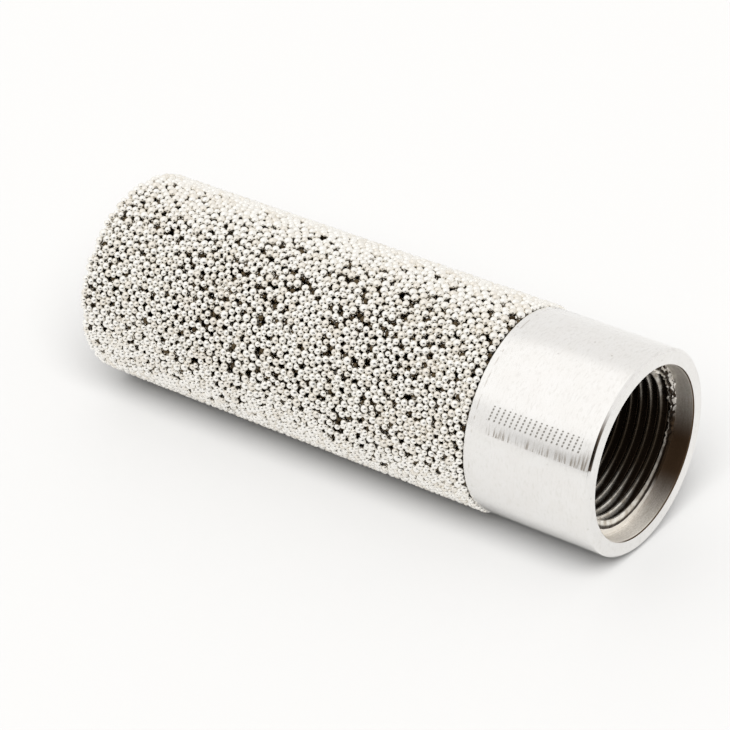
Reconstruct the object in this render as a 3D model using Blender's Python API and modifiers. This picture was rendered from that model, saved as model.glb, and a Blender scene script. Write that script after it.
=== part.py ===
"""Pneumatic muffler: a threaded steel sleeve with a closed cup of sintered steel beads on it.

The muffler lies on its side. Its axis is the X axis, its threaded mouth faces +X, and the
origin is the centre of the mouth's rim. Distances along the muffler are given as depths
below the mouth, so a depth of d is the plane x = -d. Every part is round, so each is drawn
as a section through its axis, standing along local +Z, and then laid down onto +X.
"""
import math

import bmesh
import bpy
from mathutils import Matrix

MM = 0.001

# Driving sizes of the whole muffler.
OVERALL_LENGTH = 100.0 * MM
SLEEVE_RADIUS = 17.0 * MM
SLEEVE_EXPOSED_LENGTH = 22.6 * MM
BEAD_CUP_RADIUS = 17.5 * MM
BEAD_CUP_WALL = 5.5 * MM
BEAD_CUP_END = 6.0 * MM
ASSEMBLY_GAP = 0.3 * MM

# Mouth of the sleeve.
RIM_CHAMFER = 0.4 * MM
COUNTERBORE_RADIUS = 14.3 * MM
COUNTERBORE_DEPTH = 3.2 * MM
LEAD_CHAMFER = 0.35 * MM

# Internal thread: G 3/4, the 55 degree parallel pipe thread with 14 turns to the inch, right-handed.
THREAD_PITCH = 25.4 * MM / 14
THREAD_MAJOR_RADIUS = 26.441 / 2 * MM
THREAD_MINOR_RADIUS = 24.117 / 2 * MM
THREAD_FLANK_ANGLE = math.radians(27.5)
THREAD_ROOT_WIDTH = THREAD_PITCH / 6
THREAD_END_DEPTH = 19.6 * MM
THREAD_OVERCUT = 0.1 * MM
RELIEF_RADIUS = 13.4 * MM
RELIEF_WIDTH = 2.4 * MM

# Spigot at the sleeve's inner end, which the beads are sintered onto.
SPIGOT_RADIUS = 14.5 * MM
SPIGOT_LENGTH = 7.0 * MM
GROOVE_DEPTH = 0.8 * MM
GROOVE_WIDTH = 1.6 * MM
GROOVE_SPACING = 2.8 * MM

# Rounded outer corner of the bead cup's closed end.
END_CORNER_RADIUS = 0.8 * MM
END_CORNER_STEPS = 3

ROUND_STEPS = 48
SHARP_ANGLE = math.radians(35)

SPIGOT_END_DEPTH = SLEEVE_EXPOSED_LENGTH + SPIGOT_LENGTH
GROOVE_DEPTHS = [
    SLEEVE_EXPOSED_LENGTH + SPIGOT_LENGTH / 2 + side * GROOVE_SPACING / 2 for side in (-1, 1)
]


def clear_scene():
    for scene_object in list(bpy.data.objects):
        bpy.data.objects.remove(scene_object)


def make_collection(name):
    collection = bpy.data.collections.new(name)
    bpy.context.scene.collection.children.link(collection)
    return collection


def make_material(name, colour, metallic, roughness):
    material = bpy.data.materials.new(name)
    material.use_nodes = True
    shader = material.node_tree.nodes["Principled BSDF"]
    shader.inputs["Base Color"].default_value = (*colour, 1.0)
    shader.inputs["Metallic"].default_value = metallic
    shader.inputs["Roughness"].default_value = roughness
    return material


def turned_part(name, section, collection, material):
    """Turn a section about the muffler's axis. Its points are (radius, depth below the mouth)."""
    mesh = bpy.data.meshes.new(name)
    corners = [(radius, 0.0, -depth) for radius, depth in section]
    if section[0][0] == 0.0:
        edges = [(i, i + 1) for i in range(len(corners) - 1)]
    else:
        edges = [(i, (i + 1) % len(corners)) for i in range(len(corners))]
    mesh.from_pydata(corners, edges, [])
    mesh.materials.append(material)

    part = bpy.data.objects.new(name, mesh)
    collection.objects.link(part)
    part.rotation_euler = (0.0, math.pi / 2, 0.0)

    screw = part.modifiers.new("Turn", "SCREW")
    screw.axis = "Z"
    screw.angle = 2 * math.pi
    screw.steps = ROUND_STEPS
    screw.render_steps = ROUND_STEPS
    screw.use_merge_vertices = True
    screw.merge_threshold = 0.00001
    screw.use_smooth_shade = True
    return part


def sleeve_section():
    """Half section of the sleeve: down the outside from the rim, then up the bore."""
    outside = [
        (SLEEVE_RADIUS - RIM_CHAMFER, 0.0),
        (SLEEVE_RADIUS, RIM_CHAMFER),
        (SLEEVE_RADIUS, SLEEVE_EXPOSED_LENGTH),
        (SPIGOT_RADIUS, SLEEVE_EXPOSED_LENGTH),
    ]
    for middle in GROOVE_DEPTHS:
        top = middle - GROOVE_WIDTH / 2
        bottom = middle + GROOVE_WIDTH / 2
        outside += [
            (SPIGOT_RADIUS, top),
            (SPIGOT_RADIUS - GROOVE_DEPTH, top),
            (SPIGOT_RADIUS - GROOVE_DEPTH, bottom),
            (SPIGOT_RADIUS, bottom),
        ]
    outside.append((SPIGOT_RADIUS, SPIGOT_END_DEPTH))
    bore = [
        (THREAD_MINOR_RADIUS, SPIGOT_END_DEPTH),
        (THREAD_MINOR_RADIUS, THREAD_END_DEPTH + RELIEF_WIDTH),
        (RELIEF_RADIUS, THREAD_END_DEPTH + RELIEF_WIDTH),
        (RELIEF_RADIUS, THREAD_END_DEPTH),
        (THREAD_MINOR_RADIUS, THREAD_END_DEPTH),
        (THREAD_MINOR_RADIUS, COUNTERBORE_DEPTH + LEAD_CHAMFER),
        (THREAD_MINOR_RADIUS + LEAD_CHAMFER, COUNTERBORE_DEPTH),
        (COUNTERBORE_RADIUS, COUNTERBORE_DEPTH),
        (COUNTERBORE_RADIUS, 0.0),
    ]
    return outside + bore


def make_thread_cutter(collection):
    """Sweep the thread groove's section up a right-handed helix, from the relief into the counterbore.

    The sweep starts half a step round, so that its edges cross the bore's flats between their own edges.
    """
    root_half = THREAD_ROOT_WIDTH / 2
    mouth_radius = THREAD_MINOR_RADIUS - THREAD_OVERCUT
    mouth_half = root_half + (THREAD_MAJOR_RADIUS - mouth_radius) * math.tan(THREAD_FLANK_ANGLE)
    start_depth = THREAD_END_DEPTH + RELIEF_WIDTH / 2
    stop_depth = COUNTERBORE_DEPTH - THREAD_PITCH
    turns = math.ceil((start_depth - stop_depth) / THREAD_PITCH)
    section = [
        (mouth_radius, -mouth_half),
        (THREAD_MAJOR_RADIUS, -root_half),
        (THREAD_MAJOR_RADIUS, root_half),
        (mouth_radius, mouth_half),
    ]

    shape = bmesh.new()
    corners = [shape.verts.new((radius, 0.0, height - start_depth)) for radius, height in section]
    edges = [shape.edges.new((corners[i], corners[(i + 1) % len(corners)])) for i in range(len(corners))]
    bmesh.ops.spin(
        shape,
        geom=edges,
        cent=(0.0, 0.0, 0.0),
        axis=(0.0, 0.0, 1.0),
        dvec=(0.0, 0.0, THREAD_PITCH / ROUND_STEPS),
        angle=2 * math.pi * turns,
        steps=ROUND_STEPS * turns,
    )
    half_step = Matrix.Rotation(math.pi / ROUND_STEPS, 4, "Z")
    bmesh.ops.transform(shape, matrix=half_step, verts=shape.verts[:])
    bmesh.ops.remove_doubles(shape, verts=shape.verts[:], dist=0.000001)
    bmesh.ops.holes_fill(shape, edges=[edge for edge in shape.edges if edge.is_boundary])
    bmesh.ops.recalc_face_normals(shape, faces=shape.faces[:])
    mesh = bpy.data.meshes.new("thread_cutter")
    shape.to_mesh(mesh)
    shape.free()

    cutter = bpy.data.objects.new("thread_cutter", mesh)
    collection.objects.link(cutter)
    cutter.rotation_euler = (0.0, math.pi / 2, 0.0)
    cutter.hide_render = True
    cutter.display_type = "WIRE"
    return cutter


def make_sleeve(collection, cutters):
    """The steel socket: rim, counterbore, internal thread with its relief, and grooved spigot."""
    steel = make_material("satin_nickel_plate", (0.78, 0.77, 0.75), 1.0, 0.28)
    sleeve = turned_part("threaded_sleeve", sleeve_section(), collection, steel)
    cut = sleeve.modifiers.new("Thread", "BOOLEAN")
    cut.operation = "DIFFERENCE"
    cut.solver = "EXACT"
    cut.object = make_thread_cutter(cutters)
    return sleeve


def bead_cup_section():
    """Half section of the bead cup: from the middle of the end's inner face, out and round to its back."""
    cavity_radius = BEAD_CUP_RADIUS - BEAD_CUP_WALL
    socket_radius = SPIGOT_RADIUS + ASSEMBLY_GAP
    socket_end = SPIGOT_END_DEPTH + ASSEMBLY_GAP
    rib_width = GROOVE_WIDTH - 2 * ASSEMBLY_GAP
    inside = [
        (0.0, OVERALL_LENGTH - BEAD_CUP_END),
        (cavity_radius, OVERALL_LENGTH - BEAD_CUP_END),
        (cavity_radius, socket_end),
        (socket_radius, socket_end),
    ]
    for middle in reversed(GROOVE_DEPTHS):
        inside += [
            (socket_radius, middle + rib_width / 2),
            (socket_radius - GROOVE_DEPTH, middle + rib_width / 2),
            (socket_radius - GROOVE_DEPTH, middle - rib_width / 2),
            (socket_radius, middle - rib_width / 2),
        ]
    open_edge = SLEEVE_EXPOSED_LENGTH + ASSEMBLY_GAP
    outside = [(socket_radius, open_edge), (BEAD_CUP_RADIUS, open_edge)]
    for step in range(END_CORNER_STEPS + 1):
        angle = math.pi / 2 * step / END_CORNER_STEPS
        outside.append((
            BEAD_CUP_RADIUS - END_CORNER_RADIUS * (1 - math.cos(angle)),
            OVERALL_LENGTH - END_CORNER_RADIUS * (1 - math.sin(angle)),
        ))
    return inside + outside + [(0.0, OVERALL_LENGTH)]


def make_bead_cup(collection):
    """The porous body: beads sintered into a thick tube with a closed end, gripping the spigot."""
    beads = make_material("sintered_steel_beads", (0.66, 0.64, 0.60), 1.0, 0.35)
    return turned_part("sintered_bead_cup", bead_cup_section(), collection, beads)


def main():
    clear_scene()
    parts = make_collection("pneumatic_muffler")
    cutters = make_collection("cutters")
    make_sleeve(parts, cutters)
    make_bead_cup(parts)


main()
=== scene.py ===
"""Pneumatic muffler: the looks of a threaded steel sleeve and its cup of sintered steel beads.

The muffler lies along X with its threaded mouth facing +X. Places along it are x values, so
they are negative inside the muffler, and angles are measured about +X from +Y towards +Z.
"""
import math

import bmesh
import bpy
import numpy as np
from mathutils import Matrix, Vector, noise


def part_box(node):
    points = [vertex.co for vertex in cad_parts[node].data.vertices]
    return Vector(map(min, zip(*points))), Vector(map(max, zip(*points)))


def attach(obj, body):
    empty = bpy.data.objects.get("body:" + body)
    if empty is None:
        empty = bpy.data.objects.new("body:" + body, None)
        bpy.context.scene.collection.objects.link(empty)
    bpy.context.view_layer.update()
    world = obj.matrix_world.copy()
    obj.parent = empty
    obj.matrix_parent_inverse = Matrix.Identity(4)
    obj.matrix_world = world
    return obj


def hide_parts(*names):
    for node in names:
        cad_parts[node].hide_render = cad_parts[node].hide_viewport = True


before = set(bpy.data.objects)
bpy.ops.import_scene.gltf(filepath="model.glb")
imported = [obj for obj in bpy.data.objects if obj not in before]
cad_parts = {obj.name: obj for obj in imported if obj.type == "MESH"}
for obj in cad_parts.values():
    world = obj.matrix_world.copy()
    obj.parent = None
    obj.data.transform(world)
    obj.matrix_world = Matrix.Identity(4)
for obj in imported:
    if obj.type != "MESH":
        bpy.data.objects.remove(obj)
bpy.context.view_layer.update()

MM = 0.001
SEED = 20

# Sizes that the frame gives.
sleeve_low, sleeve_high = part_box("threaded_sleeve")
cup_low, cup_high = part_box("sintered_bead_cup")
SLEEVE_RADIUS = sleeve_high.z
CUP_RADIUS = cup_high.z
MOUTH_X = sleeve_high.x
SPIGOT_END_X = sleeve_low.x
CLOSED_END_X = cup_low.x
FLOOR_Z = cup_low.z

# Sleeve, as the CAD model has it. The cup starts an assembly gap behind the sleeve's shoulder.
ASSEMBLY_GAP = 0.3 * MM
SHOULDER_X = cup_high.x + ASSEMBLY_GAP
COUNTERBORE_RADIUS = 14.3 * MM
COUNTERBORE_X = -3.2 * MM
RIM_CHAMFER = 0.4 * MM
MOUTH_CHAMFER = 0.22 * MM
LEAD_CHAMFER = 0.35 * MM
EDGE_BREAK = 0.05 * MM
RELIEF_RADIUS = 13.4 * MM
RELIEF_WIDTH = 2.4 * MM
SPIGOT_RADIUS = 14.5 * MM
GROOVE_DEPTH = 0.8 * MM
GROOVE_WIDTH = 1.6 * MM
GROOVE_SPACING = 2.8 * MM

# Marks on the plated sleeve: a faint line this far from the shoulder, pits, and a painted dark reflection on
# the rim.
JOINT_LINE = 1.2 * MM
PITS_PER_MM = 0.42
RIM_REFLECTION_ANGLES = (math.radians(127), math.radians(163.5))

# Plain etched ticks on the sleeve, and beside them a band of grey streaks that are partly handling marks and
# partly a painted reflection. A tick's width is a share of the pitch, and its slant is in pitches per radian.
TICK_START_X = -19.2 * MM
TICK_END_X = -2.4 * MM
TICK_PITCH = 0.95 * MM
TICK_WIDTH = 0.24
TICK_SLANT = 3.0
TICK_DOTS = 5
TICK_ANGLES = (math.radians(147.6), math.radians(156.8))
STREAK_ANGLES = (math.radians(156.8), math.radians(163.8))

# G 3/4 thread in the Whitworth form: 55 degrees between flanks, with rounded roots. Its crests are
# what is left of the bore that was drilled before tapping, so they are flat.
THREAD_PITCH = 25.4 * MM / 14
THREAD_MAJOR_RADIUS = 26.441 / 2 * MM
THREAD_MINOR_RADIUS = 24.117 / 2 * MM
THREAD_ROUNDING = 0.137329 * THREAD_PITCH
FLANK_ANGLE = math.radians(27.5)
THREAD_END_X = -19.6 * MM
THREAD_ROOT_X = -20.365 * MM

# The ledge at the foot of the counterbore, which the first thread turn has torn around one angle, and
# elsewhere only by a small share of that.
LEDGE_INNER_RADIUS = THREAD_MAJOR_RADIUS + 0.12 * MM
BURR_SIZE = 0.55 * MM
BURR_DEPTH = 0.9 * MM
BURR_ANGLE = math.radians(22)
BURR_HALF_ANGLE = math.radians(50)
BURR_ELSEWHERE = 0.08
BURR_COARSE = 0.9 * MM
BURR_FINE = 0.4 * MM

# Oil inside the mouth lies between two angles, and so does a painted dark reflection on the mouth's chamfer.
# Each fades in over the first span and out over the second.
WALL_STAIN = (math.radians(-98), math.radians(-38), math.radians(-20), math.radians(50))
LEDGE_STAIN = (math.radians(-62), math.radians(-46), math.radians(-8), math.radians(12))
THREAD_STAIN = (math.radians(-100), math.radians(-42), math.radians(-5), math.radians(60))
EDGE_REFLECTION_ANGLES = (math.radians(-125), math.radians(-105), math.radians(45), math.radians(65))

# Fineness of the sleeve's mesh. Rows along the thread lie at these parts of a pitch from a root.
SLEEVE_SIDES = 360
ROW_PLACES = (0.0, 0.04, 0.08, 0.122, 0.2, 0.3, 0.405, 0.43, 0.5, 0.57, 0.595, 0.7, 0.8, 0.878, 0.92, 0.96)
ROWS_PER_PITCH = len(ROW_PLACES)
FILLET_STEPS = 3
LEDGE_STEPS = 6

# Hollow of the cup.
CAVITY_RADIUS = CUP_RADIUS - 5.5 * MM
CAVITY_END_X = CLOSED_END_X + 6.0 * MM

# Beads: their middle size, the spread of sizes and its limits as shares of that, and the share of the
# wall that they fill. Touching beads end up SINTERED times their radii apart.
BEAD_DIAMETER = 1.28 * MM
BEAD_SPREAD = 0.13
BEAD_SMALLEST = 0.8
BEAD_LARGEST = 1.3
BEAD_FILL = 0.612
SINTERED = 0.96
OUT_OF_ROUND = 0.025

# Beads less deep than this many diameters are the skin, then the under layer.
SKIN_DEPTH = 1.0
UNDER_LAYER_DEPTH = 2.0

# How the beads push each other apart: steps, steps between searches for neighbours, how far beyond
# touching a search looks, and the share of an overlap that each bead gives way at a step.
PACK_STEPS = 120
STEPS_PER_SEARCH = 6
SEARCH_MARGIN = 1.15
GIVE_WAY = 0.45
PIECE_FACES = 195000
TINY = 1e-9

# Necks of metal that grew between touching beads in the sintering furnace. Their width is a share of
# the smaller bead's radius, and they flare towards both ends, which sink a little into the beads.
NECK_REACH = 1.03
NECK_WIDTH = 0.37
NECK_SPREAD = 0.15
NECK_FLARE = 1.35
NECK_SINK = 0.03
NECK_SIDES = 8


# ---------------------------------------------------------------- node helpers

def new_material(name, colour, metallic, roughness):
    """A material, its node tree and its shader."""
    material = bpy.data.materials.new(name)
    material.use_nodes = True
    shader = material.node_tree.nodes["Principled BSDF"]
    shader.inputs["Base Color"].default_value = (*colour, 1.0)
    shader.inputs["Metallic"].default_value = metallic
    shader.inputs["Roughness"].default_value = roughness
    return material, material.node_tree, shader


def node(tree, kind, inputs=None, **settings):
    """A new node. Inputs may be numbers or another node's output sockets, by name or place."""
    made = tree.nodes.new(kind)
    for key, value in settings.items():
        setattr(made, key, value)
    for key, value in (inputs or {}).items():
        if isinstance(value, bpy.types.NodeSocket):
            tree.links.new(value, made.inputs[key])
        else:
            made.inputs[key].default_value = value
    return made


def maths(tree, operation, *values):
    """The result of a sum on numbers and other nodes' output sockets."""
    return node(tree, "ShaderNodeMath", dict(enumerate(values)), operation=operation).outputs[0]


def dot_product(tree, first, second):
    return node(tree, "ShaderNodeVectorMath", {0: first, 1: second}, operation="DOT_PRODUCT").outputs["Value"]


def ramp(tree, value, low, high, at_low=0.0, at_high=1.0):
    """Maps value smoothly from low..high to at_low..at_high, and holds it there beyond both ends."""
    return node(
        tree, "ShaderNodeMapRange",
        {"Value": value, "From Min": low, "From Max": high, "To Min": at_low, "To Max": at_high},
        interpolation_type="SMOOTHSTEP",
    ).outputs["Result"]


def between(tree, value, start, full, full_end, end):
    """1 where value lies between full and full_end, fading to 0 at start and at end."""
    return maths(tree, "MINIMUM", ramp(tree, value, start, full), ramp(tree, value, full_end, end, 1.0, 0.0))


def mix_colours(tree, amount, first, second):
    """Blends two colours, each a colour or another node's output socket."""
    blend = node(tree, "ShaderNodeMix", data_type="RGBA")
    for place, value in ((0, amount), (6, first), (7, second)):
        if isinstance(value, bpy.types.NodeSocket):
            tree.links.new(value, blend.inputs[place])
        else:
            blend.inputs[place].default_value = (*value, 1.0) if place else value
    return blend.outputs[2]


def scaled(tree, place, factors):
    """A place with each of its axes multiplied."""
    return node(tree, "ShaderNodeVectorMath", {0: place, 1: factors}, operation="MULTIPLY").outputs["Vector"]


def noise_value(tree, place, per_mm, detail=3.0):
    """Noise at a place, with its features this many to a millimetre along each axis."""
    if not isinstance(per_mm, tuple):
        per_mm = (per_mm,) * 3
    sized = scaled(tree, place, tuple(count / MM for count in per_mm))
    return node(tree, "ShaderNodeTexNoise", {"Vector": sized, "Scale": 1.0, "Detail": detail}).outputs["Fac"]


def along_axes(tree, place):
    """The x, y and z of a place."""
    axes = node(tree, "ShaderNodeSeparateXYZ", {"Vector": place}).outputs
    return axes["X"], axes["Y"], axes["Z"]


def around_axis(tree, place):
    """Distance from the muffler's axis, and the angle about it from +Y towards +Z."""
    _, y, z = along_axes(tree, place)
    across = node(tree, "ShaderNodeCombineXYZ", {"Y": y, "Z": z}).outputs[0]
    radius = node(tree, "ShaderNodeVectorMath", {0: across}, operation="LENGTH").outputs["Value"]
    return radius, maths(tree, "ARCTAN2", z, y)


def add_bump(tree, shader, height, depth):
    """Bump from a height of 0 to 1 that stands for this many metres."""
    bump = node(tree, "ShaderNodeBump", {"Height": height, "Distance": depth, "Strength": 1.0})
    tree.links.new(bump.outputs["Normal"], shader.inputs["Normal"])


# ---------------------------------------------------------------- sleeve

def rounded_chain(corners):
    """Points (radius, x) along a chain of corners (radius, x, fillet), with arcs at fillets."""
    points = []
    for index, (radius, x, fillet) in enumerate(corners):
        corner = Vector((radius, x))
        if fillet == 0.0:
            points.append(corner)
            continue
        back = (Vector(corners[index - 1][:2]) - corner).normalized()
        ahead = (Vector(corners[index + 1][:2]) - corner).normalized()
        half = back.angle(ahead) / 2
        centre = corner + (back + ahead).normalized() * fillet / math.sin(half)
        start = corner + back * fillet / math.tan(half) - centre
        stop = corner + ahead * fillet / math.tan(half) - centre
        for step in range(FILLET_STEPS + 1):
            points.append(centre + start.slerp(stop, step / FILLET_STEPS).normalized() * fillet)
    return [(point.x, point.y) for point in points]


def sleeve_chain():
    """The sleeve's section apart from its thread: counterbore, rim, outside, spigot, bore and relief."""
    chain = []
    for step in range(LEDGE_STEPS):
        radius = LEDGE_INNER_RADIUS + (COUNTERBORE_RADIUS - LEDGE_INNER_RADIUS) * step / LEDGE_STEPS
        chain.append((radius, COUNTERBORE_X, 0.0))
    chain += [
        (COUNTERBORE_RADIUS, COUNTERBORE_X, 0.1 * MM),
        (COUNTERBORE_RADIUS, COUNTERBORE_X / 2, 0.0),
        (COUNTERBORE_RADIUS, MOUTH_X - MOUTH_CHAMFER, EDGE_BREAK),
        (COUNTERBORE_RADIUS + MOUTH_CHAMFER, MOUTH_X, EDGE_BREAK),
        (SLEEVE_RADIUS - RIM_CHAMFER, MOUTH_X, EDGE_BREAK),
        (SLEEVE_RADIUS, MOUTH_X - RIM_CHAMFER, EDGE_BREAK),
        (SLEEVE_RADIUS, SHOULDER_X / 2, 0.0),
        (SLEEVE_RADIUS, SHOULDER_X, 0.25 * MM),
        (SPIGOT_RADIUS, SHOULDER_X, 0.0),
    ]
    spigot_middle = (SHOULDER_X + SPIGOT_END_X) / 2
    for side in (1, -1):
        middle = spigot_middle + side * GROOVE_SPACING / 2
        front = middle + GROOVE_WIDTH / 2
        rear = middle - GROOVE_WIDTH / 2
        chain += [
            (SPIGOT_RADIUS, front, 0.0),
            (SPIGOT_RADIUS - GROOVE_DEPTH, front, 0.0),
            (SPIGOT_RADIUS - GROOVE_DEPTH, rear, 0.0),
            (SPIGOT_RADIUS, rear, 0.0),
        ]
    relief_end_x = THREAD_END_X - RELIEF_WIDTH
    chain += [
        (SPIGOT_RADIUS, SPIGOT_END_X, 0.2 * MM),
        (THREAD_MINOR_RADIUS, SPIGOT_END_X, 0.2 * MM),
        (THREAD_MINOR_RADIUS, relief_end_x, 0.15 * MM),
        (RELIEF_RADIUS, relief_end_x, 0.3 * MM),
        (RELIEF_RADIUS, THREAD_END_X, 0.0),
    ]
    return rounded_chain(chain)


def thread_radius(x, angle):
    """Radius of the threaded bore, from how far along the pitch each point is from the groove's root."""
    turns = (x - THREAD_ROOT_X) / THREAD_PITCH - angle / (2 * math.pi)
    from_root = np.abs(turns - np.round(turns)) * THREAD_PITCH
    arc = THREAD_ROUNDING * math.cos(FLANK_ANGLE)
    root = THREAD_MAJOR_RADIUS - THREAD_ROUNDING + np.sqrt(
        np.maximum(THREAD_ROUNDING**2 - from_root**2, 0.0)
    )
    middle = (THREAD_MAJOR_RADIUS + THREAD_MINOR_RADIUS) / 2
    flank = middle + (THREAD_PITCH / 4 - from_root) / math.tan(FLANK_ANGLE)
    groove = np.where(from_root < arc, root, flank)
    lead = THREAD_MINOR_RADIUS + LEAD_CHAMFER - (COUNTERBORE_X - x)
    return np.maximum(np.maximum(groove, lead), THREAD_MINOR_RADIUS)


def angles_round(sides):
    """The angles of a ring's corners."""
    return np.arange(sides) / sides * 2 * math.pi


def thread_rows():
    """Rows of points that climb one pitch a turn, held between the thread's two ends."""
    angles = angles_round(SLEEVE_SIDES)
    pitches = math.ceil((COUNTERBORE_X - THREAD_ROOT_X) / THREAD_PITCH) + 1
    rows = []
    for pitch in range(-1, pitches):
        for place in ROW_PLACES:
            climb = pitch + place + angles / (2 * math.pi)
            x = np.clip(THREAD_ROOT_X + climb * THREAD_PITCH, THREAD_END_X, COUNTERBORE_X)
            radius = thread_radius(x, angles)
            rows.append(np.stack([x, radius * np.cos(angles), radius * np.sin(angles)], axis=-1))
    return rows


def sleeve_faces(thread_count, row_count):
    """Quads between neighbouring rows. After a full turn, a thread row meets the row one pitch higher."""
    def corner(row, side):
        if side < SLEEVE_SIDES:
            return row * SLEEVE_SIDES + side
        if row < thread_count:
            row = min(row + ROWS_PER_PITCH, thread_count - 1)
        return row * SLEEVE_SIDES

    faces = []
    for row in range(row_count):
        above = (row + 1) % row_count
        for side in range(SLEEVE_SIDES):
            after = side + 1
            faces.append((corner(row, side), corner(row, after), corner(above, after), corner(above, side)))
    return faces


def tear_ledge(shape):
    """Tears the ledge and the thin start of the thread beside it, as a blunt tap does."""
    noise.seed_set(SEED)  # Without a seed, this noise differs from run to run.
    for vert in shape.verts:
        radius = math.hypot(vert.co.y, vert.co.z)
        depth = COUNTERBORE_X - vert.co.x
        outward = (COUNTERBORE_RADIUS - EDGE_BREAK - radius) / (COUNTERBORE_RADIUS - THREAD_MAJOR_RADIUS)
        if outward <= 0.0 or not -0.01 * MM < depth < BURR_DEPTH:
            continue
        angle = math.atan2(vert.co.z, vert.co.y)
        torn = max(0.0, 1.0 - abs(angle - BURR_ANGLE) / BURR_HALF_ANGLE)
        size = (BURR_ELSEWHERE + (1.0 - BURR_ELSEWHERE) * min(1.0, 3.0 * torn)) * BURR_SIZE
        size *= (1.0 - max(depth, 0.0) / BURR_DEPTH) * min(1.0, 3.0 * outward)
        coarse = noise.noise_vector(vert.co / BURR_COARSE)
        fine = noise.noise_vector(vert.co / BURR_FINE)
        vert.co += (coarse + 0.5 * fine) * size


def surface_of(middle):
    """Which of the sleeve's three finishes a face wears: 0 outside, 1 counterbore, 2 thread."""
    radius = math.hypot(middle.y, middle.z)
    if radius < THREAD_MAJOR_RADIUS + 0.1 * MM and middle.x < COUNTERBORE_X + 0.2 * MM:
        return 2
    in_mouth = middle.x > COUNTERBORE_X - 0.5 * MM and radius < COUNTERBORE_RADIUS + MOUTH_CHAMFER
    return 1 if in_mouth and middle.x < MOUTH_X - 0.02 * MM else 0


def make_sleeve(finishes):
    """The sleeve as one closed mesh, whose rows run down its thread and then round its section."""
    rows = thread_rows()
    thread_count = len(rows)
    angles = angles_round(SLEEVE_SIDES)
    for radius, x in sleeve_chain():
        ring = [np.full(SLEEVE_SIDES, x), radius * np.cos(angles), radius * np.sin(angles)]
        rows.append(np.stack(ring, axis=-1))
    mesh = bpy.data.meshes.new("threaded_sleeve_fine")
    mesh.from_pydata(np.concatenate(rows).tolist(), [], sleeve_faces(thread_count, len(rows)))

    shape = bmesh.new()
    shape.from_mesh(mesh)
    bmesh.ops.remove_doubles(shape, verts=shape.verts[:], dist=0.0002 * MM)
    tear_ledge(shape)
    bmesh.ops.recalc_face_normals(shape, faces=shape.faces[:])
    for face in shape.faces:
        face.material_index = surface_of(face.calc_center_median())
    shape.to_mesh(mesh)
    shape.free()
    mesh.shade_smooth()
    mesh.set_sharp_from_angle(angle=math.radians(40))
    for finish in finishes:
        mesh.materials.append(finish)

    sleeve = bpy.data.objects.new("threaded_sleeve_fine", mesh)
    bpy.context.scene.collection.objects.link(sleeve)
    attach(sleeve, "root")
    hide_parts("threaded_sleeve")
    return sleeve


# ---------------------------------------------------------------- beads

def neighbour_pairs(points, reach):
    """Index pairs of the points closer than reach, found cell by cell in a grid."""
    cells = np.floor((points - points.min(axis=0)) / reach).astype(np.int64) + 1
    span = cells.max(axis=0) + 2
    stride = np.array([span[1] * span[2], span[2], 1])
    keys = cells @ stride
    order = np.argsort(keys, kind="stable")
    sorted_keys = keys[order]
    firsts, seconds = [], []
    for dx in (0, 1):
        for dy in (-1, 0, 1):
            for dz in (-1, 0, 1):
                if (dx, dy, dz) < (0, 0, 0):
                    continue
                shifted = keys + np.array([dx, dy, dz]) @ stride
                start = np.searchsorted(sorted_keys, shifted, "left")
                count = np.searchsorted(sorted_keys, shifted, "right") - start
                first = np.repeat(np.arange(len(points)), count)
                place = np.arange(count.sum()) - np.repeat(np.cumsum(count) - count, count)
                second = order[np.repeat(start, count) + place]
                if (dx, dy, dz) == (0, 0, 0):
                    once = first < second
                    first, second = first[once], second[once]
                close = np.linalg.norm(points[second] - points[first], axis=1) < reach
                firsts.append(first[close])
                seconds.append(second[close])
    return np.concatenate(firsts), np.concatenate(seconds)


def push_out_of(points, radii, hollow_radius, hollow_x):
    """Moves beads out of a round hollow that runs from hollow_x towards the mouth."""
    around = np.hypot(points[:, 1], points[:, 2])
    outward = around - hollow_radius
    behind = hollow_x - points[:, 0]
    corner = (outward > 0) & (behind > 0)
    distance = np.where(corner, np.hypot(outward, behind), np.maximum(outward, behind))
    short = np.maximum(radii - distance, 0.0)
    scale = np.maximum(distance, TINY)
    sideways = np.where(corner, outward / scale, (outward >= behind).astype(float))
    rearward = np.where(corner, behind / scale, (outward < behind).astype(float))
    grow = 1 + short * sideways / np.maximum(around, TINY)
    points[:, 1] *= grow
    points[:, 2] *= grow
    points[:, 0] -= short * rearward


def keep_in_mould(points, radii):
    """Holds beads between the mould's outer wall, its end, the sleeve's shoulder, the spigot and the core."""
    around = np.hypot(points[:, 1], points[:, 2])
    shrink = np.minimum(1.0, (CUP_RADIUS - radii) / np.maximum(around, TINY))
    points[:, 1] *= shrink
    points[:, 2] *= shrink
    points[:, 0] = np.clip(points[:, 0], CLOSED_END_X + radii, SHOULDER_X - radii)
    push_out_of(points, radii, SPIGOT_RADIUS, SPIGOT_END_X)
    push_out_of(points, radii, CAVITY_RADIUS, CAVITY_END_X)


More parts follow.
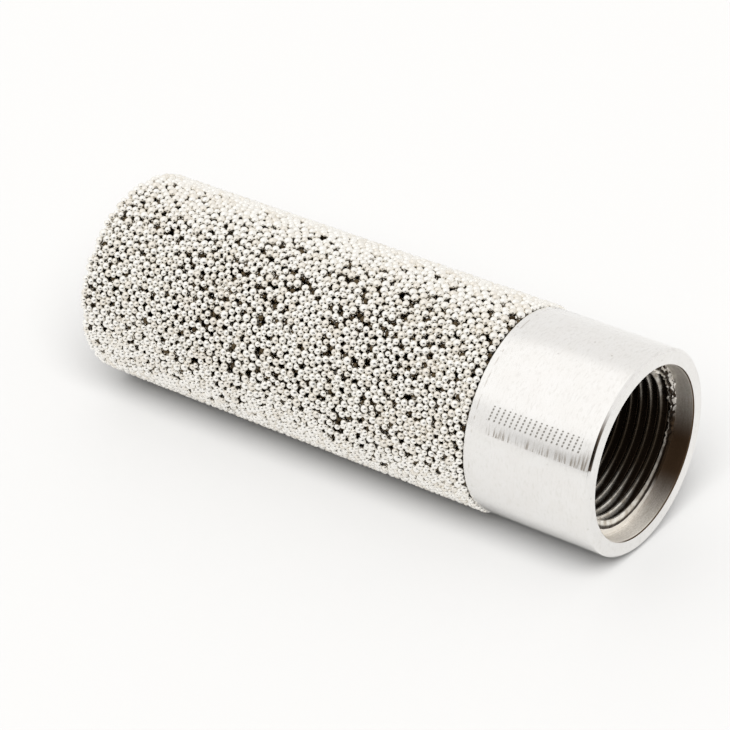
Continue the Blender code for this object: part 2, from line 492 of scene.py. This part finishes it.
def pack_beads(rng):
    """Pours beads into the cup's mould at random, then lets those that overlap push each other apart."""
    volume = math.pi * (
        (CUP_RADIUS**2 - CAVITY_RADIUS**2) * (SPIGOT_END_X - CAVITY_END_X)
        + (CUP_RADIUS**2 - SPIGOT_RADIUS**2) * (SHOULDER_X - SPIGOT_END_X)
        + CUP_RADIUS**2 * (CAVITY_END_X - CLOSED_END_X)
    )
    count = round(volume * BEAD_FILL / (math.pi / 6 * BEAD_DIAMETER**3))
    sizes = np.clip(np.exp(rng.normal(0.0, BEAD_SPREAD, count)), BEAD_SMALLEST, BEAD_LARGEST)
    radii = BEAD_DIAMETER / 2 * sizes

    points = np.empty((0, 3))
    while len(points) < count:
        x = rng.uniform(CLOSED_END_X, SHOULDER_X, count)
        around = CUP_RADIUS * np.sqrt(rng.uniform(0.0, 1.0, count))
        angle = rng.uniform(0.0, 2 * math.pi, count)
        hollow = np.where(x > SPIGOT_END_X, SPIGOT_RADIUS, np.where(x > CAVITY_END_X, CAVITY_RADIUS, 0.0))
        drop = np.stack([x, around * np.cos(angle), around * np.sin(angle)], axis=-1)
        points = np.concatenate([points, drop[around > hollow]])
    points = points[:count]

    reach = BEAD_DIAMETER * BEAD_LARGEST * SEARCH_MARGIN
    for step in range(PACK_STEPS):
        if step % STEPS_PER_SEARCH == 0:
            first, second = neighbour_pairs(points, reach)
        apart = points[second] - points[first]
        distance = np.maximum(np.linalg.norm(apart, axis=1), TINY)
        overlap = np.maximum((radii[first] + radii[second]) * SINTERED - distance, 0.0)
        push = apart * (GIVE_WAY * overlap / distance)[:, None]
        for axis in range(3):
            points[:, axis] += np.bincount(second, push[:, axis], count)
            points[:, axis] -= np.bincount(first, push[:, axis], count)
        keep_in_mould(points, radii)
    return points, radii


def ball_template(subdivisions):
    """Corners and triangles of a ball with a radius of 1."""
    shape = bmesh.new()
    bmesh.ops.create_icosphere(shape, subdivisions=subdivisions, radius=1.0)
    shape.verts.index_update()
    points = np.array([vert.co for vert in shape.verts])
    faces = np.array([[vert.index for vert in face.verts] for face in shape.faces])
    shape.free()
    return points, faces


def random_turns(count, rng):
    """Rotation matrices spread evenly over all directions, from random quaternions."""
    w, x, y, z = rng.normal(size=(count, 4)).T
    length = np.sqrt(w * w + x * x + y * y + z * z)
    w, x, y, z = w / length, x / length, y / length, z / length
    rows = [
        [1 - 2 * (y * y + z * z), 2 * (x * y - z * w), 2 * (x * z + y * w)],
        [2 * (x * y + z * w), 1 - 2 * (x * x + z * z), 2 * (y * z - x * w)],
        [2 * (x * z - y * w), 2 * (y * z + x * w), 1 - 2 * (x * x + y * y)],
    ]
    return np.moveaxis(np.array(rows), -1, 0)


def triangle_piece(name, corners, faces, shades, material):
    """A piece from arrays of corners and triangles, with a shade from 0 to 1 kept at each corner."""
    mesh = bpy.data.meshes.new(name)
    mesh.vertices.add(len(corners))
    mesh.vertices.foreach_set("co", corners.astype(np.float32).ravel())
    mesh.loops.add(faces.size)
    mesh.loops.foreach_set("vertex_index", faces.astype(np.int32).ravel())
    mesh.polygons.add(len(faces))
    mesh.polygons.foreach_set("loop_start", np.arange(0, faces.size, 3, dtype=np.int32))
    mesh.update(calc_edges=True)
    mesh.shade_smooth()
    mesh.materials.append(material)
    shade = mesh.attributes.new("bead_shade", "FLOAT", "POINT")
    shade.data.foreach_set("value", shades.astype(np.float32))

    piece = bpy.data.objects.new(name, mesh)
    bpy.context.scene.collection.objects.link(piece)
    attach(piece, "root")
    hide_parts("sintered_bead_cup")
    return piece


def bead_piece(name, points, radii, subdivisions, rng, material):
    """One piece made of many balls, each slightly out of round and turned at random."""
    ball, ball_faces = ball_template(subdivisions)
    count = len(points)
    stretch = rng.normal(1.0, OUT_OF_ROUND, (count, 1, 3))
    turned = np.einsum("nij,nvj->nvi", random_turns(count, rng), ball[None] * stretch)
    corners = turned * radii[:, None, None] + points[:, None, :]
    faces = ball_faces[None] + (np.arange(count) * len(ball))[:, None, None]
    shades = np.repeat(rng.uniform(0.0, 1.0, count), len(ball))
    return triangle_piece(name, corners.reshape(-1, 3), faces.reshape(-1, 3), shades, material)


def neck_template():
    """Rings and triangles of a waisted, closed neck along Z, from -1 to 1, with a waist radius of 1."""
    rings = [(-1.0, NECK_FLARE), (-0.35, 1.03), (0.35, 1.03), (1.0, NECK_FLARE)]
    angles = angles_round(NECK_SIDES)
    corners = [(wide * math.cos(a), wide * math.sin(a), along) for along, wide in rings for a in angles]
    corners += [(0.0, 0.0, -1.0), (0.0, 0.0, 1.0)]
    faces = []
    for ring in range(len(rings) - 1):
        low, high = ring * NECK_SIDES, (ring + 1) * NECK_SIDES
        for side in range(NECK_SIDES):
            after = (side + 1) % NECK_SIDES
            faces.append((low + side, low + after, high + after))
            faces.append((low + side, high + after, high + side))
    last = (len(rings) - 1) * NECK_SIDES
    for side in range(NECK_SIDES):
        after = (side + 1) % NECK_SIDES
        faces.append((len(corners) - 2, after, side))
        faces.append((len(corners) - 1, last + side, last + after))
    return np.array(corners), np.array(faces)


def make_necks(name, points, radii, chosen, rng, material):
    """A neck of metal between each pair of chosen beads that touch."""
    first, second = neighbour_pairs(points, BEAD_DIAMETER * BEAD_LARGEST * NECK_REACH)
    apart = points[second] - points[first]
    distance = np.linalg.norm(apart, axis=1)
    touching = (distance < (radii[first] + radii[second]) * NECK_REACH) & chosen[first] & chosen[second]
    first, second, apart, distance = first[touching], second[touching], apart[touching], distance[touching]
    along = apart / distance[:, None]
    smaller = np.minimum(radii[first], radii[second])
    waist = smaller * NECK_WIDTH * np.exp(rng.normal(0.0, NECK_SPREAD, len(first)))
    sideways = np.cross(along, rng.normal(size=along.shape))
    sideways /= np.linalg.norm(sideways, axis=1)[:, None]
    upwards = np.cross(along, sideways)
    centre = points[first] + along * (distance * radii[first] / (radii[first] + radii[second]))[:, None]

    template, template_faces = neck_template()
    reach = smaller - np.sqrt(np.maximum(smaller**2 - (NECK_FLARE * waist)**2, 0.0)) + NECK_SINK * smaller
    order = np.argsort(-centre[:, 0], kind="stable")
    piece_count = math.ceil(len(order) * len(template_faces) / PIECE_FACES)
    for number, share in enumerate(np.array_split(order, piece_count), start=1):
        corners = (
            centre[share, None]
            + sideways[share, None] * (template[None, :, :1] * waist[share, None, None])
            + upwards[share, None] * (template[None, :, 1:2] * waist[share, None, None])
            + along[share, None] * (template[None, :, 2:] * reach[share, None, None])
        )
        faces = template_faces[None] + (np.arange(len(share)) * len(template))[:, None, None]
        shades = np.repeat(rng.uniform(0.0, 1.0, len(share)), len(template))
        triangle_piece(f"{name}_{number}", corners.reshape(-1, 3), faces.reshape(-1, 3), shades, material)


def make_bead_layer(name, points, radii, chosen, subdivisions, rng, material):
    """The chosen beads, sorted along the muffler and shared out over pieces that stay small enough."""
    faces_per_bead = 20 * 4 ** (subdivisions - 1)
    beads_per_piece = PIECE_FACES // faces_per_bead
    order = np.flatnonzero(chosen)
    order = order[np.argsort(-points[order, 0], kind="stable")]
    piece_count = math.ceil(len(order) / beads_per_piece)
    for number, share in enumerate(np.array_split(order, piece_count), start=1):
        bead_piece(f"{name}_{number}", points[share], radii[share], subdivisions, rng, material)


def make_beads(bright, painted_shade_beads, painted_shade_core):
    """Bright beads at the surfaces, darker ones under them, and coarser, near-black ones where none is seen;
    the two dark colours are painted shade.
    """
    rng = np.random.default_rng(SEED)
    points, radii = pack_beads(rng)
    around = np.hypot(points[:, 1], points[:, 2])
    under_outside = np.minimum(CUP_RADIUS - around, points[:, 0] - CLOSED_END_X)
    # The cavity ends at the spigot, so beads around the spigot count as deep inside the wall.
    hollow = np.where(points[:, 0] > SPIGOT_END_X, 0.0, CAVITY_RADIUS)
    beside_cavity = points[:, 0] > CAVITY_END_X
    under_inside = np.where(beside_cavity, around - hollow, CAVITY_END_X - points[:, 0])
    skin = under_outside < SKIN_DEPTH * BEAD_DIAMETER
    second = ~skin & (under_outside < UNDER_LAYER_DEPTH * BEAD_DIAMETER)
    near_cavity = (under_inside < BEAD_DIAMETER) & (around < CAVITY_RADIUS + BEAD_DIAMETER)
    lining = near_cavity & ~skin & ~second
    middle = ~(skin | second | lining)
    make_bead_layer("bead_skin", points, radii, skin, 2, rng, bright)
    make_bead_layer("bead_under_layer", points, radii, second, 2, rng, painted_shade_beads)
    make_bead_layer("bead_cavity_lining", points, radii, lining, 2, rng, bright)
    make_bead_layer("bead_wall_core", points, radii, middle, 1, rng, painted_shade_core)
    make_necks("bead_necks", points, radii, skin | second, rng, bright)


# ---------------------------------------------------------------- materials

# Colours of the plated outside and of the marks on it.
PLATE = (0.853, 0.844, 0.827)
PLATE_CLOUD = (0.825, 0.81, 0.785)
PLATE_RING = (0.79, 0.775, 0.745)
PLATE_GRAIN = (0.75, 0.737, 0.71)
# Grey of the streaks: handling marks and a painted reflection.
SMUDGE_AND_REFLECTION_GREY = (0.24, 0.20, 0.155)
PIT_GREY = (0.35, 0.32, 0.28)
JOINT_BROWN = (0.45, 0.41, 0.36)
# A painted dark reflection on the rim's chamfer.
RIM_REFLECTION_BROWN = (0.10, 0.065, 0.04)
ETCHED_GREY = (0.20, 0.185, 0.16)

# Colours inside the mouth: clean, under oil, and painted shade and reflection. The plain ones are for a
# viewer that skips the nodes.
WALL_PLAIN = (0.70, 0.66, 0.60)
WALL_LIGHT = (0.78, 0.74, 0.68)
WALL_DARK = (0.56, 0.52, 0.46)
WALL_OIL = (0.032, 0.018, 0.009)
LEDGE_CLEAN = (0.80, 0.77, 0.72)
LEDGE_OIL = (0.045, 0.028, 0.015)
CHIP_BROWN = (0.03, 0.018, 0.01)
# A painted dark reflection on the mouth's chamfer.
EDGE_REFLECTION_BROWN = (0.045, 0.025, 0.01)
THREAD_PLAIN = (0.62, 0.58, 0.52)
THREAD_LIGHT = (0.76, 0.73, 0.67)
THREAD_DARK = (0.50, 0.45, 0.38)
# Black for oil on the thread, and for painted shade further in.
THREAD_BLACK = (0.03, 0.02, 0.011)
# Oil and painted shade in the thread's grooves.
GROOVE_OIL_AND_SHADE = (0.025, 0.016, 0.010)


def bead_material(name, light, dark, roughness):
    """Steel beads: each its own shade, with a fine pebbled skin from the furnace."""
    material, tree, shader = new_material(name, light, 1.0, roughness)
    place = node(tree, "ShaderNodeTexCoord").outputs["Object"]
    shade = node(tree, "ShaderNodeAttribute", attribute_name="bead_shade").outputs["Fac"]
    grain = noise_value(tree, place, 4.0, 2.0)
    patchy = maths(tree, "MULTIPLY_ADD", grain, 0.5, maths(tree, "MULTIPLY", shade, 0.75))
    tone = ramp(tree, patchy, 0.55, 1.1)
    tree.links.new(mix_colours(tree, tone, light, dark), shader.inputs["Base Color"])
    rough = ramp(tree, grain, 0.3, 0.7, roughness - 0.06, roughness + 0.1)
    tree.links.new(rough, shader.inputs["Roughness"])
    add_bump(tree, shader, grain, 0.005 * MM)
    return material


def etched_ticks(tree, x, angle):
    """A row of slanted, dotted ticks along the sleeve: 1 on a tick and 0 beside it."""
    low, high = TICK_ANGLES
    upward = maths(tree, "DIVIDE", maths(tree, "SUBTRACT", angle, low), high - low)
    along = maths(tree, "DIVIDE", maths(tree, "SUBTRACT", x, TICK_START_X), TICK_PITCH)
    slanted = maths(tree, "MULTIPLY_ADD", angle, TICK_SLANT, along)
    beside = maths(tree, "ABSOLUTE", maths(tree, "SUBTRACT", maths(tree, "FRACT", slanted), 0.5))
    stroke = ramp(tree, beside, TICK_WIDTH / 2, TICK_WIDTH / 2 + 0.06, 1.0, 0.0)
    wave = maths(tree, "SINE", maths(tree, "MULTIPLY", upward, TICK_DOTS * 2 * math.pi))
    dots = ramp(tree, wave, -0.8, 0.4, 0.2, 1.0)
    ends = between(tree, upward, 0.0, 0.06, 0.94, 1.0)
    row = between(tree, x, TICK_START_X, TICK_START_X + 0.1 * MM, TICK_END_X - 0.1 * MM, TICK_END_X)
    return maths(tree, "MULTIPLY", maths(tree, "MULTIPLY", stroke, dots), maths(tree, "MULTIPLY", ends, row))


def smudges_and_painted_reflection(tree, place, x, angle):
    """Short grey streaks around the sleeve beside the ticks, darkest next to the rim: handling marks and
    painted reflection.
    """
    low, high = STREAK_ANGLES
    towards_rim = ramp(tree, x, -4.0 * MM, -0.8 * MM)
    start = maths(tree, "MULTIPLY_ADD", towards_rim, -math.radians(6), low)
    rise = maths(tree, "DIVIDE", maths(tree, "SUBTRACT", angle, start), maths(tree, "SUBTRACT", high, start))
    band = maths(tree, "MULTIPLY", ramp(tree, rise, 0.0, 0.8), ramp(tree, rise, 0.97, 1.03, 1.0, 0.0))
    lines = noise_value(tree, place, (3.2, 0.25, 0.25), 2.0)
    faintest = maths(tree, "MULTIPLY_ADD", towards_rim, -0.14, 0.46)
    darkest = maths(tree, "MULTIPLY_ADD", towards_rim, -0.12, 0.68)
    streaks = ramp(tree, lines, faintest, darkest)
    rim_x = MOUTH_X - RIM_CHAMFER
    reach = between(
        tree, x, TICK_START_X - 1.0 * MM, TICK_START_X + 2.0 * MM, rim_x - 0.02 * MM, rim_x + 0.02 * MM,
    )
    return maths(tree, "MULTIPLY", maths(tree, "MULTIPLY", band, streaks), reach)


def painted_rim_reflection(tree, radius, x, angle):
    """A thin dark line on the rim's outer chamfer beside the streaks: a painted reflection of the dark
    surroundings.
    """
    first, last = RIM_REFLECTION_ANGLES
    chamfer_x = MOUTH_X - RIM_CHAMFER
    chamfer_radius = SLEEVE_RADIUS - RIM_CHAMFER
    on_chamfer = maths(
        tree, "MULTIPLY",
        ramp(tree, x, chamfer_x - 0.03 * MM, chamfer_x + 0.03 * MM),
        ramp(tree, radius, chamfer_radius, chamfer_radius + 0.1 * MM),
    )
    stretch = between(tree, angle, first, first + math.radians(18), last - math.radians(1), last)
    return maths(tree, "MULTIPLY", on_chamfer, stretch)


def sleeve_material():
    """Satin nickel plate over turned steel: rings, grain, faint clouds, a few pits, a painted reflection on
    the rim and etched ticks.
    """
    material, tree, shader = new_material("satin_nickel_plate", PLATE, 1.0, 0.3)
    place = node(tree, "ShaderNodeTexCoord").outputs["Object"]
    x = along_axes(tree, place)[0]
    radius, angle = around_axis(tree, place)
    rings = noise_value(tree, place, (7.0, 0.22, 0.22), 3.0)
    clouds = noise_value(tree, place, 0.35, 3.0)
    grain = noise_value(tree, place, (3.0, 1.1, 1.1), 3.0)

    sized = scaled(tree, place, (PITS_PER_MM / MM,) * 3)
    cells = node(tree, "ShaderNodeTexVoronoi", {"Vector": sized, "Scale": 1.0}).outputs
    chance = node(tree, "ShaderNodeSeparateColor", {"Color": cells["Color"]}).outputs["Red"]
    pit = ramp(tree, cells["Distance"], 0.03, 0.09, 1.0, 0.0)
    pits = maths(tree, "MULTIPLY", pit, ramp(tree, chance, 0.3, 0.7))

    ticks = etched_ticks(tree, x, angle)
    streaks = smudges_and_painted_reflection(tree, place, x, angle)
    tinted = mix_colours(tree, ramp(tree, clouds, 0.35, 0.65, 0.0, 0.5), PLATE, PLATE_CLOUD)
    tinted = mix_colours(tree, ramp(tree, rings, 0.5, 0.75, 0.0, 0.35), tinted, PLATE_RING)
    tinted = mix_colours(tree, ramp(tree, grain, 0.5, 0.7, 0.0, 0.6), tinted, PLATE_GRAIN)
    # Streaks: handling marks and a painted reflection.
    tinted = mix_colours(tree, maths(tree, "MULTIPLY", streaks, 0.8), tinted, SMUDGE_AND_REFLECTION_GREY)
    tinted = mix_colours(tree, maths(tree, "MULTIPLY", pits, 0.6), tinted, PIT_GREY)
    from_joint = maths(tree, "ABSOLUTE", maths(tree, "SUBTRACT", x, SHOULDER_X + JOINT_LINE))
    joint = maths(
        tree, "MULTIPLY",
        ramp(tree, from_joint, 0.06 * MM, 0.16 * MM, 0.5, 0.0),
        ramp(tree, noise_value(tree, place, 0.8, 2.0), 0.45, 0.6),
    )
    tinted = mix_colours(tree, joint, tinted, JOINT_BROWN)
    # A painted dark reflection on the rim's chamfer.
    rim_reflection = painted_rim_reflection(tree, radius, x, angle)
    tinted = mix_colours(tree, maths(tree, "MULTIPLY", rim_reflection, 0.95), tinted, RIM_REFLECTION_BROWN)
    tinted = mix_colours(tree, maths(tree, "MULTIPLY", ticks, 0.85), tinted, ETCHED_GREY)
    tree.links.new(tinted, shader.inputs["Base Color"])

    polish = ramp(tree, clouds, 0.3, 0.7, 0.17, 0.21)
    worn = maths(tree, "MULTIPLY_ADD", maths(tree, "MAXIMUM", ticks, streaks), 0.2, polish)
    tree.links.new(worn, shader.inputs["Roughness"])
    turned = maths(tree, "MULTIPLY_ADD", grain, 3.0, rings)
    carved = maths(tree, "MULTIPLY_ADD", maths(tree, "MAXIMUM", pits, ticks), -4.0, turned)
    add_bump(tree, shader, carved, 0.004 * MM)
    return material


def turned_steel_material():
    """The bare counterbore and its ledge, with a brown oil stain on one side and a dark outer edge that is a
    painted reflection.
    """
    material, tree, shader = new_material("turned_bare_steel", WALL_PLAIN, 0.75, 0.5)
    place = node(tree, "ShaderNodeTexCoord").outputs["Object"]
    radius, angle = around_axis(tree, place)
    rings = noise_value(tree, place, (5.0, 0.4, 0.4), 3.0)
    grain = noise_value(tree, place, 5.0, 3.0)
    speckle = maths(tree, "MULTIPLY_ADD", grain, 0.6, maths(tree, "MULTIPLY", rings, 0.4))
    wall = mix_colours(tree, ramp(tree, speckle, 0.35, 0.65), WALL_LIGHT, WALL_DARK)
    wall = mix_colours(tree, between(tree, angle, *WALL_STAIN), wall, WALL_OIL)

    from_burr = maths(tree, "ABSOLUTE", maths(tree, "SUBTRACT", angle, BURR_ANGLE))
    torn = ramp(tree, from_burr, 0.6 * BURR_HALF_ANGLE, BURR_HALF_ANGLE, 1.0, 0.0)
    chips = maths(tree, "MULTIPLY", torn, ramp(tree, noise_value(tree, place, 1.3, 2.0), 0.51, 0.56))
    ledge = mix_colours(tree, between(tree, angle, *LEDGE_STAIN), LEDGE_CLEAN, LEDGE_OIL)
    ledge = mix_colours(tree, chips, ledge, CHIP_BROWN)
    on_ledge = ramp(tree, radius, COUNTERBORE_RADIUS - 0.12 * MM, COUNTERBORE_RADIUS - 0.06 * MM, 1.0, 0.0)
    steel = mix_colours(tree, on_ledge, wall, ledge)

    # The chamfer's dark line is a painted reflection.
    at_edge = ramp(tree, radius, COUNTERBORE_RADIUS + 0.01 * MM, COUNTERBORE_RADIUS + 0.06 * MM)
    edge_reflection = maths(tree, "MULTIPLY_ADD", between(tree, angle, *EDGE_REFLECTION_ANGLES), 0.7, 0.3)
    steel = mix_colours(tree, maths(tree, "MULTIPLY", at_edge, edge_reflection), steel, EDGE_REFLECTION_BROWN)
    tree.links.new(steel, shader.inputs["Base Color"])
    tree.links.new(ramp(tree, grain, 0.3, 0.7, 0.42, 0.58), shader.inputs["Roughness"])
    add_bump(tree, shader, maths(tree, "MULTIPLY_ADD", grain, 1.5, rings), 0.012 * MM)
    return material


def thread_material():
    """Cut thread: bright crests at the bottom of the mouth, blackened beside it by oil and further in by
    painted shade, with grooves darkened by oil and painted shade.
    """
    material, tree, shader = new_material("cut_thread_steel", THREAD_PLAIN, 0.9, 0.3)
    place = node(tree, "ShaderNodeTexCoord").outputs["Object"]
    x = along_axes(tree, place)[0]
    radius, angle = around_axis(tree, place)
    smears = noise_value(tree, place, (1.2, 0.8, 0.8), 3.0)
    steel = mix_colours(tree, ramp(tree, smears, 0.35, 0.7), THREAD_LIGHT, THREAD_DARK)

    # Turns further in are darkened: painted shade.
    painted_depth_shade = ramp(tree, x, COUNTERBORE_X - 7.0 * MM, COUNTERBORE_X - 1.0 * MM, 1.0, 0.0)
    lip = ramp(tree, x, COUNTERBORE_X - 0.5 * MM, COUNTERBORE_X - 0.2 * MM, 0.98, 0.72)
    blackened = maths(tree, "MULTIPLY", between(tree, angle, *THREAD_STAIN), lip)
    blackened = maths(tree, "MAXIMUM", blackened, maths(tree, "MULTIPLY", painted_depth_shade, 0.55))
    steel = mix_colours(tree, blackened, steel, THREAD_BLACK)

    # Grooves darker than crests: oil and painted shade.
    clean_depth = ramp(tree, blackened, 0.2, 0.9, THREAD_MINOR_RADIUS + 0.45 * MM, THREAD_MINOR_RADIUS)
    depth = ramp(tree, maths(tree, "SUBTRACT", radius, clean_depth), 0.05 * MM, 0.45 * MM)
    groove_oil_and_shade = maths(tree, "MULTIPLY", depth, ramp(tree, smears, 0.2, 0.6, 0.92, 1.0))
    tree.links.new(mix_colours(tree, groove_oil_and_shade, steel, GROOVE_OIL_AND_SHADE), shader.inputs["Base Color"])
    tree.links.new(ramp(tree, smears, 0.3, 0.7, 0.2, 0.36), shader.inputs["Roughness"])
    add_bump(tree, shader, noise_value(tree, place, (6.0, 0.6, 0.6), 3.0), 0.006 * MM)
    return material


# ---------------------------------------------------------------- stage

CAMERA_AZIMUTH = math.radians(36.24)
CAMERA_ELEVATION = math.radians(30.20)
CAMERA_DISTANCE = 495.6 * MM
CAMERA_TARGET = Vector((-53.65 * MM, 0.0, -2.6 * MM))
CAMERA_LENS = 149.4

# The light tent. Places are azimuth and elevation, and 1.0 is as bright as white paper. A span is two
# cosines of the angle off a direction, between which the light changes. Tops are elevations in degrees.
TENT_COLOUR = (1.0, 0.99, 0.98)
TENT_LIGHT = 0.97
LAMP_LIGHT = 1.16
LAMP_PLACE = (math.radians(-50), math.radians(60))
LAMP_SPAN = (math.cos(math.radians(46)), math.cos(math.radians(32)))
PHOTOGRAPHER_LIGHT = 0.05
PHOTOGRAPHER_TOP = 36
PHOTOGRAPHER_SPAN = (0.78, 0.90)
OPENING_LIGHT = 0.72
OPENING_TOP = 12
OPENING_SPAN = (0.2, 0.5)
TOP_FADE = 6

# The light that makes the contact shadow.
SOFTBOX_PLACE = (math.radians(33), math.radians(50))
SOFTBOX_ANGLE = math.radians(50)
SOFTBOX_STRENGTH = 9.5

# The floor's middling grey shows as white paper does, because the softbox is strong.
FLOOR_COLOUR = (0.30, 0.298, 0.295)
FLOOR_ROUGHNESS = 0.6
FLOOR_RADIUS = 6.0
FLOOR_FRONT = 0.22


def direction(azimuth, elevation):
    """Unit vector towards a place. Azimuth is measured from -Y towards +X, elevation from the floor."""
    return Vector((
        math.sin(azimuth) * math.cos(elevation),
        -math.cos(azimuth) * math.cos(elevation),
        math.sin(elevation),
    ))


def make_camera():
    """A long lens, in front of the mouth's side and above it."""
    towards_camera = direction(CAMERA_AZIMUTH, CAMERA_ELEVATION)
    data = bpy.data.cameras.new("camera")
    data.lens = CAMERA_LENS
    data.sensor_width = 36.0
    data.clip_start = 0.01
    data.clip_end = 20.0
    camera = bpy.data.objects.new("camera", data)
    bpy.context.scene.collection.objects.link(camera)
    camera.location = CAMERA_TARGET + towards_camera * CAMERA_DISTANCE
    camera.rotation_mode = "QUATERNION"
    camera.rotation_quaternion = (-towards_camera).to_track_quat("-Z", "Y")
    bpy.context.scene.camera = camera


def make_floor():
    """A white sheet that ends a little in front of the muffler, as a table does."""
    towards_camera = direction(CAMERA_AZIMUTH, 0.0)
    shape = bmesh.new()
    bmesh.ops.create_circle(shape, cap_ends=True, segments=64, radius=FLOOR_RADIUS)
    bmesh.ops.bisect_plane(
        shape, geom=shape.verts[:] + shape.edges[:] + shape.faces[:],
        plane_co=CAMERA_TARGET + towards_camera * FLOOR_FRONT, plane_no=towards_camera, clear_outer=True,
    )
    mesh = bpy.data.meshes.new("floor")
    shape.to_mesh(mesh)
    shape.free()
    mesh.materials.append(new_material("white_floor", FLOOR_COLOUR, 0.0, FLOOR_ROUGHNESS)[0])
    floor = bpy.data.objects.new("floor", mesh)
    bpy.context.scene.collection.objects.link(floor)
    floor.location.z = FLOOR_Z


def make_softbox():
    """A soft light from above in front. It lights the floor and stays out of the metal's reflections."""
    data = bpy.data.lights.new("softbox", "SUN")
    data.energy = SOFTBOX_STRENGTH
    data.angle = SOFTBOX_ANGLE
    softbox = bpy.data.objects.new("softbox", data)
    bpy.context.scene.collection.objects.link(softbox)
    softbox.rotation_mode = "QUATERNION"
    softbox.rotation_quaternion = direction(*SOFTBOX_PLACE).to_track_quat("Z", "Y")
    softbox.visible_glossy = False


def dim_below(tree, height, top, in_front, span, light):
    """1.0, dimmed to light below an elevation of top degrees where in_front is beyond its span."""
    fade_from = math.sin(math.radians(top - TOP_FADE))
    low_down = ramp(tree, height, fade_from, math.sin(math.radians(top)), 1.0, 0.0)
    share = maths(tree, "MULTIPLY", low_down, ramp(tree, in_front, *span))
    return maths(tree, "MULTIPLY_ADD", share, light - 1.0, 1.0)


def make_world():
    """A white light tent with a soft lamp overhead, open low in front where the photographer stands."""
    world = bpy.data.worlds.new("light_tent")
    bpy.context.scene.world = world
    world.use_nodes = True
    tree = world.node_tree
    background = tree.nodes["Background"]
    looked = node(tree, "ShaderNodeTexCoord").outputs["Generated"]
    facing_lamp = dot_product(tree, looked, direction(*LAMP_PLACE))
    lamp = ramp(tree, facing_lamp, *LAMP_SPAN, TENT_LIGHT, LAMP_LIGHT)
    height = along_axes(tree, looked)[2]
    in_front = dot_product(tree, looked, direction(CAMERA_AZIMUTH, 0.0))
    photographer = dim_below(tree, height, PHOTOGRAPHER_TOP, in_front, PHOTOGRAPHER_SPAN, PHOTOGRAPHER_LIGHT)
    opening = dim_below(tree, height, OPENING_TOP, in_front, OPENING_SPAN, OPENING_LIGHT)
    light = maths(tree, "MULTIPLY", lamp, maths(tree, "MINIMUM", photographer, opening))
    seen = node(tree, "ShaderNodeLightPath").outputs["Is Camera Ray"]
    mix = node(tree, "ShaderNodeMix", {"Factor": seen, "A": light, "B": 1.0}, data_type="FLOAT")
    background.inputs["Color"].default_value = (*TENT_COLOUR, 1.0)
    tree.links.new(mix.outputs["Result"], background.inputs["Strength"])


def main():
    bpy.context.scene.view_settings.view_transform = "Standard"
    make_camera()
    make_floor()
    make_world()
    make_softbox()
    make_sleeve([sleeve_material(), turned_steel_material(), thread_material()])
    bright = bead_material("bright_bead_steel", (0.95, 0.932, 0.888), (0.845, 0.80, 0.72), 0.25)
    # The under layer's and the core's dark colours are painted shade in the gaps between the skin's beads.
    painted_shade_beads = bead_material("painted_shade_bead_steel", (0.105, 0.078, 0.045), (0.035, 0.023, 0.012), 0.28)
    painted_shade_core = bead_material("painted_shade_core_steel", (0.06, 0.035, 0.018), (0.03, 0.018, 0.009), 0.4)
    make_beads(bright, painted_shade_beads, painted_shade_core)


main()
